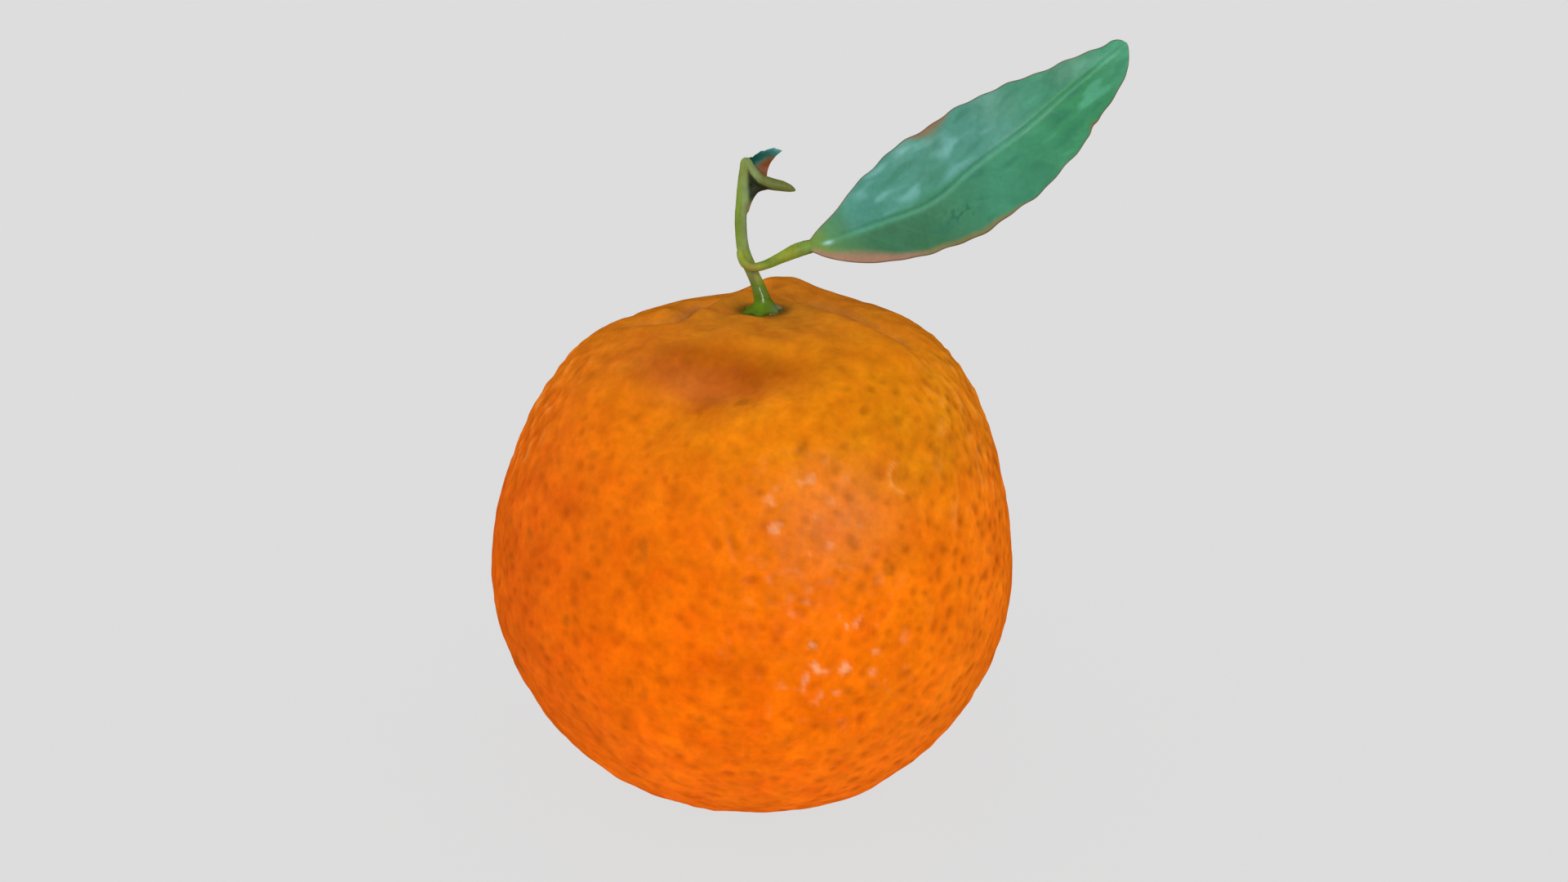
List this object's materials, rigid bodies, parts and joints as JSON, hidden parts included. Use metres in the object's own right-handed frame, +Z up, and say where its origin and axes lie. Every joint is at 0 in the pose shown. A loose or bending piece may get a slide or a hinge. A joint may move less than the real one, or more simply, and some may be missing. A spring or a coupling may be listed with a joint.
{
  "type": "orange",
  "caption": "Fresh loose-skinned orange with a puckered crown, a green calyx, a short cut stalk with a side stub, and one leaf on its petiole.",
  "frame": {"origin": "centre of the small flat spot on the blossom end that the fruit rests on", "axes": "+Z up along the fruit's axis towards the stalk, +X the side that the leaf reaches out to, -Y the side that the leaf's upper face looks to"},
  "size_m": [0.0795, 0.068, 0.0934],
  "materials": {
    "peel": "waxy orange citrus peel with darker oil-gland pits, ochre to the upper right and a brownish dent below the crown",
    "calyx": "moist bright green calyx with a dark rim",
    "stalk": "smooth olive-green young wood",
    "leaf": "waxy bluish-green leaf with a paler midrib and a thin brown edge",
    "torn_leaf": "dry rust-brown torn leaf with a bluish-green upper rim"
  },
  "bodies": {
    "root": {"fruit": "peel", "calyx": "calyx", "stem": "stalk", "petiole": "stalk", "side_twig": "stalk", "leaf_blade": "leaf", "torn_leaf": "torn_leaf"}
  },
  "joints": []
}
